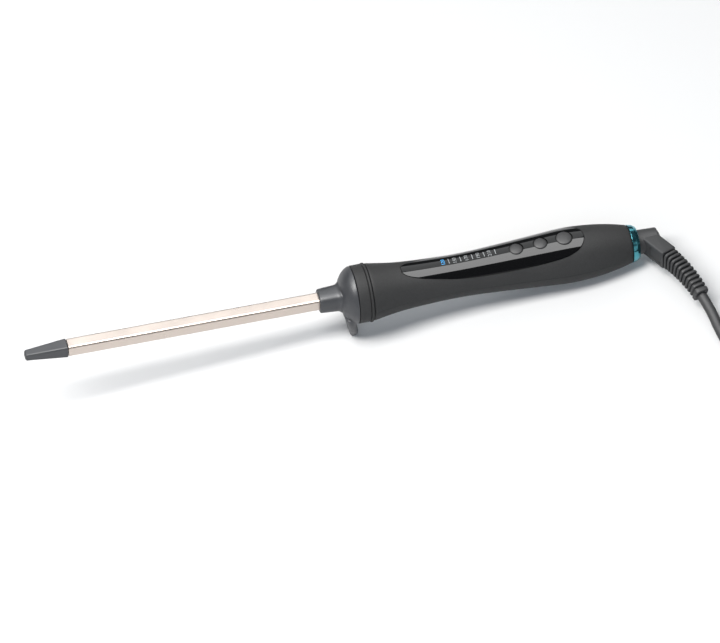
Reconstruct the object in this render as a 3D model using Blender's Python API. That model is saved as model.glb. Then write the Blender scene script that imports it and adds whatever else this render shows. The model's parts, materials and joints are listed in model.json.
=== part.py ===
"""Slim curling wand with a square barrel, a rest foot and a 360 degree swivel cord, lying at rest.

The wand is drawn along its own axis: x runs from the tip to the cord, x = 0 is where the front cap
meets the collar, z points out of the control panel. Its empty leans that frame until the foot and the
handle's bulge both touch the ground, z = 0. The cord and its plug are drawn straight in the world.
Sizes are in millimetres and become metres as each mesh is made.
"""

from math import cos, pi, radians, sin, tan

import bmesh
import bpy
from mathutils import Euler, Matrix, Vector

MM = 0.001
GAP = 0.3  # between pieces that touch

# Driving dimensions, in the wand's own frame
TIP_END = -188.2
TIP_SEAM = -164.3
BARREL_HALF = 3.8
BARREL_WALL = 0.8
BARREL_EXPONENT = 6.5  # of the rounded square: 2 is a circle
NOZZLE_FRONT = -20.1
COLLAR_RADIUS = 16.4
TRIM_RADIUS = 16.9
BAND_END = 6.0
TRIM_END = 8.4
SHELL_FRONT = 8.7
SHELL_REAR = 157.5
RING_END = 162.1
SPIGOT_RADIUS = 13.3
SHELL_WALL = 2.6
SEAM = 0.75  # degrees left open on each side of the joint between the shells
FOOT_LENGTH = 29.3
FOOT_X = -2.5
WAND_X = 11.5  # world x of the collar, which centres the wand on the origin

# Handle outline (x, radius): flared collar, slim waist, full bulge, tapered tail
HANDLE = ((SHELL_FRONT, 16.1), (24, 13.8), (42, 12.6), (62, 12.25), (84, 13.3), (104, 14.6), (122, 15.6),
          (138, 14.6), (150, 12.6), (SHELL_REAR, 10.7))
# Control panel outline (x, half width measured round the handle)
PANEL = ((26.4, 2.0), (29, 4.2), (35, 6.4), (44, 8.2), (57, 10.3), (74, 11.8), (98, 12.7), (112, 12.4),
         (120, 11.4), (126, 8.8), (129.6, 5.0), (130.8, 1.6))
PANEL_THICKNESS = 1.2
PANEL_SLOT = ((45.5, 85.5), 3.2)  # through the shell under the labels: x range, half width
PANEL_WINDOW = ((86.8, 126.2), 5.9)  # and under the buttons

# Buttons: name, x, radius
BUTTONS = (("minus", 92.3, 3.75), ("plus", 106.2, 3.75), ("power", 119.8, 4.5))
BUTTON_GAP = 0.35
FLANGE_REACH = 0.85
LABEL_PLACES = (51, 57.6, 64.2, 70.8, 77.4)

# Circuit board and what it carries
WIRE_RADIUS = 0.7
BOARD_X = (33, 131)
BOARD_HALF = 7.0
BOARD_Z = (4.2, 5.4)
BOARD_SCREWS = (37, 128.2)
SHELL_SCREWS = (27, 137)

# Swivel
NECK_RADIUS = 7.0
ELBOW_X = 168.0
SPOOL_RADIUS = 3.4
SPOOL = (142.5, 165.0)
FLANGE = (154.3, 156.2)
FLANGE_RADIUS = 8.6
SLIP_RINGS = ((144, 147), (149, 152))
SLIP_RING_RADIUS = 4.7

# Strain relief: turned from the wand's axis towards the user, and a little upwards round that axis
RELIEF_BEND = 67
RELIEF_RISE = 10
BLOCK_LENGTH = 20.0
BLOCK_HALVES = (4.8, 5.6)
RIBS = 11
RIB_SHARE = 0.56
CORE_HALF = 3.4

# Cord, in the world's frame
CORD_RADIUS = 3.0
CORD_LEAD = ((197.3, -46.9, 10.3), (199.8, -57.5, 7.1), (201.2, -70.0, 4.7), (203.9, -85.7, 3.3),
             (210.6, -97.9, 3.0), (220.0, -107.3, 3.0), (229.7, -113.6, 3.0))
CORD_TAIL = ((312.0, -96.5, 8.3), (315.8, -87.5, 7.6), (317.6, -78.0, 7.1), (318.0, -70.0, 6.85),
             (318.0, -62.3, 6.85))
COIL_CENTRE = (264.5, -75.0)
COIL_RADII = (20.6, 48.5)
COIL_Z = (0.2, 11.8)
TIE_WIDTH = 8.0
TIE_THICKNESS = 1.2
TIE_BOTTOM = 0.1
TIE_TOP = 14.9
PLUG_REAR = (318.0, -62.0, 6.85)
PIN_SPACING = 19.0
PIN_RADIUS = 2.0
PIN_LENGTH = 19.0

COLOURS = {
    "soft_touch": ((0.052, 0.052, 0.054), 0.62, 0.0),
    "heat_plastic": ((0.085, 0.088, 0.095), 0.45, 0.0),
    "champagne": ((0.80, 0.70, 0.62), 0.28, 1.0),
    "gloss_black": ((0.012, 0.012, 0.013), 0.08, 0.0),
    "button_plastic": ((0.075, 0.075, 0.078), 0.42, 0.0),
    "teal_metal": ((0.06, 0.33, 0.37), 0.18, 1.0),
    "rubber": ((0.045, 0.046, 0.048), 0.55, 0.0),
    "cord_rubber": ((0.040, 0.041, 0.043), 0.5, 0.0),
    "clear": ((0.80, 0.88, 0.95), 0.15, 0.0),
    "led": ((0.10, 0.45, 0.85), 0.3, 0.0),
    "board": ((0.03, 0.20, 0.08), 0.45, 0.0),
    "component": ((0.04, 0.04, 0.045), 0.4, 0.0),
    "capacitor": ((0.55, 0.43, 0.06), 0.45, 0.0),
    "ceramic": ((0.82, 0.80, 0.75), 0.5, 0.0),
    "aluminium": ((0.72, 0.73, 0.74), 0.35, 1.0),
    "brass": ((0.72, 0.52, 0.20), 0.3, 1.0),
    "steel": ((0.55, 0.56, 0.58), 0.3, 1.0),
    "wire": ((0.75, 0.74, 0.70), 0.6, 0.0),
    "inner_plastic": ((0.60, 0.58, 0.52), 0.5, 0.0),
}


def clear_scene():
    for obj in list(bpy.data.objects):
        bpy.data.objects.remove(obj)


def material(name):
    """The finish of that name, made once."""
    if name not in bpy.data.materials:
        colour, roughness, metallic = COLOURS[name]
        made = bpy.data.materials.new(name)
        made.use_nodes = True
        shader = made.node_tree.nodes["Principled BSDF"]
        shader.inputs["Base Color"].default_value = (*colour, 1.0)
        shader.inputs["Roughness"].default_value = roughness
        shader.inputs["Metallic"].default_value = metallic
    return bpy.data.materials[name]


def smooth_curve(points):
    """A function y(x) through the points, without corners."""
    slopes = []
    for index in range(len(points)):
        before = points[max(index - 1, 0)]
        after = points[min(index + 1, len(points) - 1)]
        slopes.append((after[1] - before[1]) / (after[0] - before[0]))

    def value(x):
        index = 0
        while index < len(points) - 2 and x > points[index + 1][0]:
            index += 1
        (x0, y0), (x1, y1) = points[index], points[index + 1]
        span = x1 - x0
        t = min(max((x - x0) / span, 0.0), 1.0)
        return (y0 * (1 + 2 * t) * (1 - t) ** 2 + y1 * t * t * (3 - 2 * t)
                + span * (slopes[index] * t * (1 - t) ** 2 - slopes[index + 1] * t * t * (1 - t)))

    return value


handle_radius = smooth_curve(HANDLE)
panel_half_width = smooth_curve(PANEL)


def steps(low, high, count):
    """Evenly spaced values from low to high, both included."""
    return [low + (high - low) * index / (count - 1) for index in range(count)]


def rest_pose():
    """How far the wand leans, in radians, and how high its axis is at x = 0, when it lies down."""
    low, high = 0.0, radians(12)
    for _ in range(40):
        lean = (low + high) / 2
        height = FOOT_LENGTH * cos(lean) + FOOT_X * sin(lean)
        clearance = min(height - x * sin(lean) - handle_radius(x) * cos(lean)
                        for x in steps(100, SHELL_REAR, 116))
        if clearance > 0:
            low = lean
        else:
            high = lean
    return lean, height


LEAN, AXIS_HEIGHT = rest_pose()
WAND_MATRIX = Matrix.Translation((WAND_X, 0, AXIS_HEIGHT)) @ Euler((0, LEAN, 0)).to_matrix().to_4x4()


# Building blocks: every shape is a row of sections, and each section is a loop of points


def bridge(bm, lower, upper):
    count = len(lower)
    for index in range(count):
        after = (index + 1) % count
        bm.faces.new((lower[index], lower[after], upper[after], upper[index]))


def skin(sections, closed=False):
    """A closed solid over a row of equal sections: capped at its ends, or joined end to end."""
    bm = bmesh.new()
    loops = [[bm.verts.new(point) for point in section] for section in sections]
    for lower, upper in zip(loops, loops[1:]):
        bridge(bm, lower, upper)
    if closed:
        bridge(bm, loops[-1], loops[0])
    else:
        bm.faces.new(loops[0])
        bm.faces.new(loops[-1])
    bmesh.ops.recalc_face_normals(bm, faces=bm.faces)
    return bm


def turned(profile, first=0.0, last=360.0, count=32):
    """A closed (x, radius) outline turned round the x axis, all the way or between two angles from +z."""
    full = last - first >= 360
    angles = steps(first, last, count + 1)
    if full:
        angles = angles[:-1]
    sections = []
    for angle in angles:
        across, up = sin(radians(angle)), cos(radians(angle))
        sections.append([Vector((x, radius * across, radius * up)) for x, radius in profile])
    return skin(sections, closed=full)


def rounded(x, half, exponent, count=32):
    """A section across the x axis: a circle at exponent 2, squarer above it."""
    points = []
    for index in range(count):
        angle = 2 * pi * (index + 0.5) / count
        reach = half / (abs(cos(angle)) ** exponent + abs(sin(angle)) ** exponent) ** (1 / exponent)
        points.append(Vector((x, reach * cos(angle), reach * sin(angle))))
    return points


def rod(x_range, radius, y=0.0, z=0.0, count=16):
    """A cylinder along x."""
    move = Vector((0, y, z))
    return skin([[point + move for point in rounded(x, radius, 2, count)] for x in x_range])


def stepped_post(levels, x, count=12):
    """A round solid along z whose radius changes with height, given as (z, radius) levels."""
    sections = []
    for z, radius in levels:
        angles = [2 * pi * index / count for index in range(count)]
        sections.append([Vector((x + radius * cos(angle), radius * sin(angle), z)) for angle in angles])
    return skin(sections)


def post(z_range, radius, x, count=16):
    """A cylinder along z."""
    return stepped_post([(z, radius) for z in z_range], x, count)


def block(x_range, y_range, z_range):
    corners = ((0, 0), (1, 0), (1, 1), (0, 1))
    return skin([[Vector((x_range[i], y_range[j], z)) for i, j in corners] for z in z_range])


def place(bm, name, finish, on_wand=True):
    """The shape as a named object, in metres, on the wand's axis or straight in the world."""
    bm.transform(Matrix.Scale(MM, 4))
    mesh = bpy.data.meshes.new(name)
    bm.to_mesh(mesh)
    bm.free()
    mesh.shade_smooth()
    mesh.set_sharp_from_angle(angle=radians(35))
    mesh.materials.append(material(finish))
    obj = bpy.data.objects.new(name, mesh)
    bpy.context.collection.objects.link(obj)
    if on_wand:
        obj.parent = bpy.data.objects["wand_axis"]
    return obj


def combine(obj, bm, operation):
    """Unite the object with a shape, or cut the shape out of it."""
    tool = place(bm, "tool", "steel", on_wand=obj.parent is not None)
    modifier = obj.modifiers.new("combine", "BOOLEAN")
    modifier.object = tool
    modifier.operation = operation
    modifier.solver = "EXACT"
    graph = bpy.context.evaluated_depsgraph_get()
    result = bpy.data.meshes.new_from_object(obj.evaluated_get(graph))
    obj.modifiers.clear()
    obj.data = result
    bpy.data.objects.remove(tool)


def unite(obj, bm):
    combine(obj, bm, "UNION")


def cut(obj, bm):
    combine(obj, bm, "DIFFERENCE")


def wire(name, route, radius, finish, on_wand=True):
    """A round wire through the route's points."""
    curve = bpy.data.curves.new(name, "CURVE")
    curve.dimensions = "3D"
    curve.bevel_depth = radius * MM
    curve.bevel_resolution = 2
    curve.use_fill_caps = True
    curve.render_resolution_u = 0
    spline = curve.splines.new("POLY")
    spline.points.add(len(route) - 1)
    for point, place_at in zip(spline.points, route):
        point.co = (*(MM * Vector(place_at)), 1.0)
    curve.materials.append(material(finish))
    obj = bpy.data.objects.new(name, curve)
    bpy.context.collection.objects.link(obj)
    if on_wand:
        obj.parent = bpy.data.objects["wand_axis"]
    return obj


def smooth_route(points, spacing):
    """Points about that far apart on a smooth curve through the route's own points."""
    places = [Vector(point) for point in points]
    ends = [2 * places[0] - places[1]] + places + [2 * places[-1] - places[-2]]
    route = []
    for p0, p1, p2, p3 in zip(ends, ends[1:], ends[2:], ends[3:]):
        pieces = max(1, round((p2 - p1).length / spacing))
        for index in range(pieces):
            t = index / pieces
            route.append(0.5 * (2 * p1 + (p2 - p0) * t + (2 * p0 - 5 * p1 + 4 * p2 - p3) * t * t
                                + (3 * p1 - p0 - 3 * p2 + p3) * t ** 3))
    route.append(places[-1])
    return route


# Barrel and heater


def make_tip_cap():
    sections = [rounded(TIP_END, 1.9, 4, 24), rounded(TIP_END + 0.5, 2.35, 6, 24),
                rounded(TIP_SEAM - 1.5, 4.05, 6, 24), rounded(TIP_SEAM - 0.5, 4.1, 6, 24),
                rounded(TIP_SEAM, 3.85, 6, 24), rounded(TIP_SEAM, 2.6, 6, 24),
                rounded(TIP_SEAM + 5, 2.6, 6, 24)]
    place(skin(sections), "tip_cap", "heat_plastic")


def make_barrel():
    start, end = TIP_SEAM + GAP, 9.0
    inner = BARREL_HALF - BARREL_WALL
    corners = ((start, BARREL_HALF), (end, BARREL_HALF), (end, inner), (start, inner))
    place(skin([rounded(x, half, BARREL_EXPONENT, 24) for x, half in corners], closed=True),
          "barrel", "champagne")


def make_heater():
    place(block((-158, 10), (-2.2, 2.2), (-0.8, 0.8)), "heating_element", "ceramic")
    place(block((-158, -92), (-2.4, 2.4), (1.1, 2.6)), "heat_spreader_upper", "aluminium")
    place(block((-158, -12), (-2.4, 2.4), (-2.6, -1.1)), "heat_spreader_lower", "aluminium")
    place(rod((-90, -86), 0.8, z=2.0, count=12), "thermistor", "ceramic")
    route = ((-85.7, 0, 2.0), (-40, 0, 2.0), (9, 0, 2.0), (16, -1.8, 2.3), (26, -4.8, 2.5), (35, -3.2, 3.3))
    wire("thermistor_lead", route, 0.4, "wire")
    holder = place(rod((-3.6, 5.6), 8.9, count=24), "barrel_holder", "inner_plastic")
    bore = BARREL_HALF + GAP
    cut(holder, skin([rounded(x, bore, BARREL_EXPONENT, 24) for x in (-5, 7)]))


# Front cap, collar and trim


def foot_section(z, x_range, half_width, level=False):
    """A slab across the foot, with cut corners; a level one lies flat on the ground at rest."""
    x0, x1 = x_range
    corner = 0.28 * (x1 - x0)
    outline = ((x0 + corner, -half_width), (x1 - corner, -half_width), (x1, corner - half_width),
               (x1, half_width - corner), (x1 - corner, half_width), (x0 + corner, half_width),
               (x0, half_width - corner), (x0, corner - half_width))
    slope = tan(LEAN) if level else 0.0
    return [Vector((x, y, z + (x - FOOT_X) * slope)) for x, y in outline]


def make_front_cap():
    bore = BARREL_HALF + GAP
    outer = ((NOZZLE_FRONT, 4.9, 4), (-19.4, 5.4, 4), (-9.6, 6.2, 4), (-8.3, 6.8, 3.6), (-7.4, 8.6, 3),
             (-6.2, 11.0, 2.4), (-4.3, 13.6, 2.1), (-2.1, 15.5, 2), (-0.8, 16.2, 2),
             (0.0, COLLAR_RADIUS, 2), (0.0, 10.7, 2), (8.2, 10.7, 2))
    inner = ((8.2, 9.3, 2), (-4.0, 9.3, 2), (-6.4, bore, BARREL_EXPONENT),
             (NOZZLE_FRONT, bore, BARREL_EXPONENT))
    cap = place(skin([rounded(*step) for step in outer + inner], closed=True), "front_cap",
                "heat_plastic")
    foot = skin([foot_section(-11.5, (-7.0, -0.3), 8.6), foot_section(-15.5, (-6.6, -0.3), 7.6),
                 foot_section(-21, (-5.5, -0.4), 6.2), foot_section(-28.2, (-4.5, -0.6), 4.8),
                 foot_section(-FOOT_LENGTH, (-4.1, -0.9), 4.2, level=True)])
    unite(cap, foot)


def make_collar():
    bore = SPIGOT_RADIUS + GAP
    band = ((GAP, COLLAR_RADIUS - 0.3), (0.7, COLLAR_RADIUS), (BAND_END, COLLAR_RADIUS),
            (BAND_END, bore), (GAP, bore))
    place(turned(band), "collar_band", "soft_touch")
    start = BAND_END + GAP
    trim = ((start, COLLAR_RADIUS), (start + 0.5, TRIM_RADIUS), (TRIM_END - 0.5, TRIM_RADIUS),
            (TRIM_END, COLLAR_RADIUS), (TRIM_END, bore), (start, bore))
    place(turned(trim), "trim_ring", "soft_touch")


# Handle shells


def shell_outline():
    """The wall's (x, radius) outline: front spigot, gripped surface, tail under the rear ring, inside."""
    grip = [(x, handle_radius(x)) for x in (SHELL_FRONT, 14, 20, 30, 42, 56, 70, 84, 98, 110, 120, 130,
                                            140, 148, 153, SHELL_REAR)]
    inside = [(x, handle_radius(x) - SHELL_WALL) for x in (150, 136, 120, 104, 84, 56, 36, 22, 14)]
    front = [(0.8, SPIGOT_RADIUS), (SHELL_FRONT, SPIGOT_RADIUS)]
    tail = [(SHELL_REAR, 9.4), (160.6, 9.4), (160.6, 7.6), (156.6, 7.6), (156.6, 9.0), (153.9, 9.0),
            (153.9, 5.4), (152.2, 5.4), (152.2, 9.6)]
    return front + grip + tail + inside + [(10, 11.0), (0.8, 11.0)]


def panel_patch(depths, grow=0.0, rows=18, columns=10):
    """The panel's outline as a solid between two depths under the handle's surface."""
    start, end = PANEL[0][0], PANEL[-1][0]
    middle = (start + end) / 2
    stretch = 1 + grow / (end - middle)
    sections = []
    for index in range(rows):
        x = middle - (end - middle) * cos(pi * index / (rows - 1))
        half = panel_half_width(x) + grow
        outline = []
        for depth, row in ((depths[0], 1), (depths[1], -1)):
            for share in steps(-row, row, columns + 1):
                angle = share * half / handle_radius(x)
                radius = handle_radius(x) - depth
                outline.append(Vector((middle + (x - middle) * stretch, radius * sin(angle),
                                       radius * cos(angle))))
        sections.append(outline)
    return skin(sections)


def make_upper_shell():
    shell = place(turned(shell_outline(), -90 + SEAM, 90 - SEAM, 16), "upper_shell", "soft_touch")
    pocket = PANEL_THICKNESS + GAP
    cut(shell, panel_patch((-2.0, pocket), grow=GAP))
    for x_range, half in (PANEL_SLOT, PANEL_WINDOW):
        cut(shell, block(x_range, (-half, half), (5, 20)))
    for x in SHELL_SCREWS:
        unite(shell, post((0.15, handle_radius(x) - 2.0), 2.7, x))
        cut(shell, post((-1, 7), 1.55, x))
    for x in BOARD_SCREWS:
        unite(shell, post((BOARD_Z[1] + GAP, handle_radius(x) - 2.0), 2.2, x))
        cut(shell, post((5, 8.8), 1.1, x))


def make_lower_shell():
    shell = place(turned(shell_outline(), 90 + SEAM, 270 - SEAM, 16), "lower_shell", "soft_touch")
    for x in SHELL_SCREWS:
        unite(shell, post((-handle_radius(x) + 2.0, -0.15), 3.2, x))
        cut(shell, post((-20, -head_seat(x)), 2.5, x))
        cut(shell, post((-20, 1), 1.55, x))


def head_seat(x):
    """How far under the axis a shell screw's head is seated."""
    return handle_radius(x) - 4.6


def make_shell_screws():
    for end, x in zip(("front", "rear"), SHELL_SCREWS):
        top = -head_seat(x) - GAP
        levels = ((top - 1.6, 2.2), (top, 2.2), (top, 1.25), (6.7, 1.25))
        place(stepped_post(levels, x), "shell_screw_" + end, "steel")


def make_board_screws():
    top = BOARD_Z[0] - GAP
    levels = ((top - 1.2, 1.8), (top, 1.8), (top, 0.8), (8.5, 0.8))
    for end, x in zip(("front", "rear"), BOARD_SCREWS):
        place(stepped_post(levels, x), "board_screw_" + end, "steel")


def make_rear_ring():
    bore = NECK_RADIUS + 0.5
    profile = ((157.9, 10.75), (160.7, 10.6), (161.6, 10.1), (RING_END, 9.2), (RING_END, bore),
               (161.0, bore), (161.0, 9.7), (157.9, 9.7))
    place(turned(profile, count=36), "rear_ring", "teal_metal")


# Control panel, buttons and electronics


def make_control_panel():
    panel = place(panel_patch((0.0, PANEL_THICKNESS)), "control_panel", "gloss_black")
    for _, x, radius in BUTTONS:
        cut(panel, post((5, 20), radius + BUTTON_GAP, x, count=24))


def make_light_guide():
    guide = place(block((46.5, 84.5), (-2.8, 2.8), (8.2, 10.1)), "light_guide", "clear")
    for x in LABEL_PLACES:
        unite(guide, block((x - 1.5, x + 1.5), (-1.5, 1.5), (6.7, 9.0)))
    for number, x in enumerate(LABEL_PLACES, 1):
        led = block((x - 0.8, x + 0.8), (-0.5, 0.5), (BOARD_Z[1] + GAP, 6.3))
        place(led, f"indicator_led_{number}", "led")


def make_buttons():
    """Each button rides on its own empty, and its switch plunger with it."""
    plunger_foot = BOARD_Z[1] + 1.8
    for name, x, radius in BUTTONS:
        crown = handle_radius(x) + 0.4
        flange = handle_radius(x) - 2.6
        levels = ((plunger_foot + 2.1, 1.6), (flange - 0.8, 1.6), (flange - 0.8, radius + FLANGE_REACH),
                  (flange, radius + FLANGE_REACH), (flange, radius), (crown - 0.9, radius),
                  (crown - 0.45, radius * 0.88), (crown - 0.12, radius * 0.55), (crown, radius * 0.2))
        empty = bpy.data.objects.new(name + "_travel", None)
        bpy.context.collection.objects.link(empty)
        empty.parent = bpy.data.objects["wand_axis"]
        empty.location = (x * MM, 0, 0)
        button = place(stepped_post(levels, 0, count=24), name + "_button", "button_plastic")
        plunger = place(post((plunger_foot, plunger_foot + 1.8), 1.2, 0, count=12), name + "_plunger",
                        "inner_plastic")
        button.parent = empty
        plunger.parent = empty


def make_switch_housings():
    base = BOARD_Z[1] + GAP
    for name, x, _ in BUTTONS:
        home = block((x - 2.25, x + 2.25), (-2.25, 2.25), (base, base + 2.0))
        housing = place(home, name + "_switch", "component")
        cut(housing, post((base + 0.4, base + 4), 1.5, x, count=12))


def make_circuit_board():
    board = place(block(BOARD_X, (-BOARD_HALF, BOARD_HALF), BOARD_Z), "circuit_board", "board")
    for x in BOARD_SCREWS:
        cut(board, post((3, 7), 1.1, x, count=12))


def make_components():
    under = BOARD_Z[0] - GAP
    over = BOARD_Z[1] + GAP
    place(block((41, 45), (-3.0, 3.0), (over, over + 1.4)), "microcontroller", "component")
    place(block((57, 70), (-3.0, 3.0), (under - 8.5, under)), "film_capacitor", "capacitor")
    place(rod((96, 108), 3.6, z=under - 3.6), "smoothing_capacitor", "component")
    place(block((78, 88), (-2.2, 2.2), (under - 9.0, under)), "triac", "component")
    disc = [[Vector((49 + 3.4 * cos(2 * pi * k / 16), y, under - 3.4 + 3.4 * sin(2 * pi * k / 16)))
             for k in range(16)] for y in (-1.6, 1.6)]
    place(skin(disc), "varistor", "led")


def make_inner_wiring():
    place(rod((15, 22), 1.7, y=5.0, z=-2.0, count=12), "thermal_fuse", "inner_plastic")
    to_fuse = ((10.5, 1.2, 0), (11.6, 2.4, -0.8), (13.2, 4.4, -1.8), (14.6, 5.0, -2.0))
    from_fuse = ((22.4, 5.0, -2.0), (27, 5.4, -1.4), (31, 5.2, 1.0), (35, 4.4, 3.1))
    direct = ((10.5, -1.2, 0), (14, -3.4, -1.0), (21, -5.6, -1.8), (27, -5.8, -1.4), (31, -5.6, 0.6),
              (36, -5.0, 3.1))
    wire("heater_lead_fused", to_fuse, WIRE_RADIUS, "wire")
    wire("fuse_lead", from_fuse, WIRE_RADIUS, "wire")
    wire("heater_lead_direct", direct, WIRE_RADIUS, "wire")
    supply = ((141.9, 5.6, -4.6), (139.5, 5.9, -4.2), (137, 6.0, -3.2), (133, 5.8, -0.8), (129, 5.0, 2.0),
              (125, 4.6, 3.1))
    for name, side in (("left", 1), ("right", -1)):
        wire("supply_lead_" + name, [(x, side * y, z) for x, y, z in supply], WIRE_RADIUS, "wire")


# Swivel


def make_swivel():
    profile = ((SPOOL[0], SPOOL_RADIUS), (FLANGE[0], SPOOL_RADIUS), (FLANGE[0], FLANGE_RADIUS),
               (FLANGE[1], FLANGE_RADIUS), (FLANGE[1], SPOOL_RADIUS), (SPOOL[1], SPOOL_RADIUS))
    place(skin([rounded(x, radius, 2, 24) for x, radius in profile]), "swivel_spool", "inner_plastic")
    bore = SPOOL_RADIUS + GAP
    inner = SLIP_RING_RADIUS + GAP
    for name, side, (x0, x1) in (("front", 1, SLIP_RINGS[0]), ("rear", -1, SLIP_RINGS[1])):
        outline = ((x0, SLIP_RING_RADIUS), (x1, SLIP_RING_RADIUS), (x1, bore), (x0, bore))
        place(turned(outline, count=24), "slip_ring_" + name, "brass")
        leaf = block((x0 + 0.4, x1 - 0.4), sorted((side * inner, side * (inner + 0.4))), (-5.9, 2.0))
        place(leaf, "brush_contact_" + name, "brass")
    place(block((142, 149.6), (-4.0, 4.0), (-8.4, -6.2)), "contact_carrier", "inner_plastic")


def relief_frame():
    """The strain relief's directions in the world: along it and up from it."""
    turn = WAND_MATRIX.to_3x3()
    bend, rise = radians(RELIEF_BEND), radians(RELIEF_RISE)
    outward = Vector((0, -cos(rise), sin(rise)))
    along = turn @ (Vector((1, 0, 0)) * cos(bend) + outward * sin(bend))
    up = turn @ Vector((0, sin(rise), cos(rise)))
    return along, up


def relief_section(centre, along, up, half_across, half_up, chamfer=0.22):
    """An eight-sided section: a rectangle with its corners cut."""
    across = up.cross(along).normalized()
    level = along.cross(across).normalized()
    cut_across, cut_up = chamfer * half_across, chamfer * half_up
    outline = ((-half_across, cut_up - half_up), (cut_across - half_across, -half_up),
               (half_across - cut_across, -half_up), (half_across, cut_up - half_up),
               (half_across, half_up - cut_up), (half_across - cut_across, half_up),
               (cut_across - half_across, half_up), (-half_across, half_up - cut_up))
    return [centre + across * a + level * b for a, b in outline]


def make_strain_relief():
    """Neck with a ball end on the wand's axis, a block out of its side, and ribs on a thin core."""
    bore = SPOOL_RADIUS + GAP
    ball = [(ELBOW_X + NECK_RADIUS * sin(radians(angle)), NECK_RADIUS * cos(radians(angle)))
            for angle in (0, 22, 44, 64, 80)]
    profile = [(156.5, NECK_RADIUS)] + ball
    neck = skin([rounded(x, radius, 2, 24) for x, radius in profile])
    neck.transform(WAND_MATRIX)
    relief = place(neck, "strain_relief", "rubber", on_wand=False)
    along, up = relief_frame()
    elbow = WAND_MATRIX @ Vector((ELBOW_X, 0, 0))
    block_end = elbow + along * BLOCK_LENGTH
    exit_point = Vector(CORD_LEAD[0])
    exit_along = (Vector(CORD_LEAD[1]) - Vector(CORD_LEAD[0])).normalized()
    reach = (exit_point - block_end).length / 3

    def centre(t):
        """The ribs' centre line, from the block's end to where the cord comes out."""
        near, far = block_end + along * reach, exit_point - exit_along * reach
        return (block_end * (1 - t) ** 3 + near * 3 * t * (1 - t) ** 2 + far * 3 * t * t * (1 - t)
                + exit_point * t ** 3)

    half_across, half_up = BLOCK_HALVES
    sections = [relief_section(elbow, along, up, half_across, half_up, 0.12),
                relief_section(block_end, along, up, half_across, half_up, 0.12)]
    for index in range(RIBS):
        size = 1.0 - 0.14 * index / (RIBS - 1)
        start = (index + 1 - RIB_SHARE) / (RIBS + 0.35)
        end = (index + 1) / (RIBS + 0.35)
        if index == RIBS - 1:
            end = 1.0
        for t, is_rib in ((start, False), (start, True), (end, True), (end, False)):
            heading = (centre(min(t + 0.02, 1.0)) - centre(t - 0.02)).normalized()
            across, level = (half_across * size, half_up * size) if is_rib else (CORE_HALF, CORE_HALF)
            sections.append(relief_section(centre(t), heading, up, across, level))
    sections.insert(2, relief_section(block_end, along, up, CORE_HALF, CORE_HALF))
    sections.pop()
    unite(relief, skin(sections))
    shaft_hole = skin([rounded(x, bore, 2, 24) for x in (150, SPOOL[1] + GAP)])
    shaft_hole.transform(WAND_MATRIX)
    cut(relief, shaft_hole)


# Cord, coil, tie and plug


def make_cord():
    spacing = 5 * CORD_RADIUS
    away = (Vector(CORD_LEAD[1]) - Vector(CORD_LEAD[0])).normalized()
    lead = [Vector(CORD_LEAD[0]) + away * GAP] + [Vector(point) for point in CORD_LEAD[1:]]
    wire("cord_lead", smooth_route(lead, spacing), CORD_RADIUS, "cord_rubber", on_wand=False)
    wire("cord_tail", smooth_route(CORD_TAIL, spacing), CORD_RADIUS, "cord_rubber", on_wand=False)


def make_coil():
    inner, outer = COIL_RADII
    low, high = COIL_Z
    round_off = CORD_RADIUS
    outline = ((outer, low + round_off), (outer, high - round_off), (outer - round_off, high),
               (inner + round_off, high), (inner, high - round_off), (inner, low + round_off),
               (inner + round_off, low), (outer - round_off, low))
    count = 48
    sections = []
    for index in range(count):
        angle = 2 * pi * index / count
        sections.append([Vector((COIL_CENTRE[0] + radius * cos(angle), COIL_CENTRE[1] + radius * sin(angle),
                                 z)) for radius, z in outline])
    coil = place(skin(sections, closed=True), "cord_coil", "cord_rubber", on_wand=False)
    x = COIL_CENTRE[0]
    reach = TIE_WIDTH / 2 + GAP
    y_range = (COIL_CENTRE[1] + inner - 3, COIL_CENTRE[1] + outer + 3)
    cut(coil, block((x - reach, x + reach), y_range, (-3, TIE_BOTTOM + TIE_THICKNESS + GAP)))


def make_tie():
    """A strap round the coil's far side."""
    inner, outer = COIL_RADII
    y_range = (COIL_CENTRE[1] + inner - 3 * GAP, COIL_CENTRE[1] + outer + GAP)
    z_range = (TIE_BOTTOM + TIE_THICKNESS, TIE_TOP - TIE_THICKNESS)
    outer_y = (y_range[0] - TIE_THICKNESS, y_range[1] + TIE_THICKNESS)
    outer_z = (TIE_BOTTOM, TIE_TOP)
    x_range = (COIL_CENTRE[0] - TIE_WIDTH / 2, COIL_CENTRE[0] + TIE_WIDTH / 2)
    corners = ((0, 0), (1, 0), (1, 1), (0, 1))
    sections = []
    for i, j in corners:
        outside, inside = (outer_y[i], outer_z[j]), (y_range[i], z_range[j])
        sections.append([Vector((x_range[0], *outside)), Vector((x_range[1], *outside)),
                         Vector((x_range[1], *inside)), Vector((x_range[0], *inside))])
    place(skin(sections, closed=True), "cord_tie", "soft_touch", on_wand=False)


def plug_section(distance, half_width, half_height, exponent, count=24):
    """A section across the plug, which lies flat and points along +y."""
    x, y, z = PLUG_REAR
    points = []
    for index in range(count):
        angle = 2 * pi * (index + 0.5) / count
        scale = (abs(cos(angle)) ** exponent + abs(sin(angle)) ** exponent) ** (-1 / exponent)
        points.append(Vector((x + half_width * scale * cos(angle), y + distance,
                              z + half_height * scale * sin(angle))))
    return points


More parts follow.
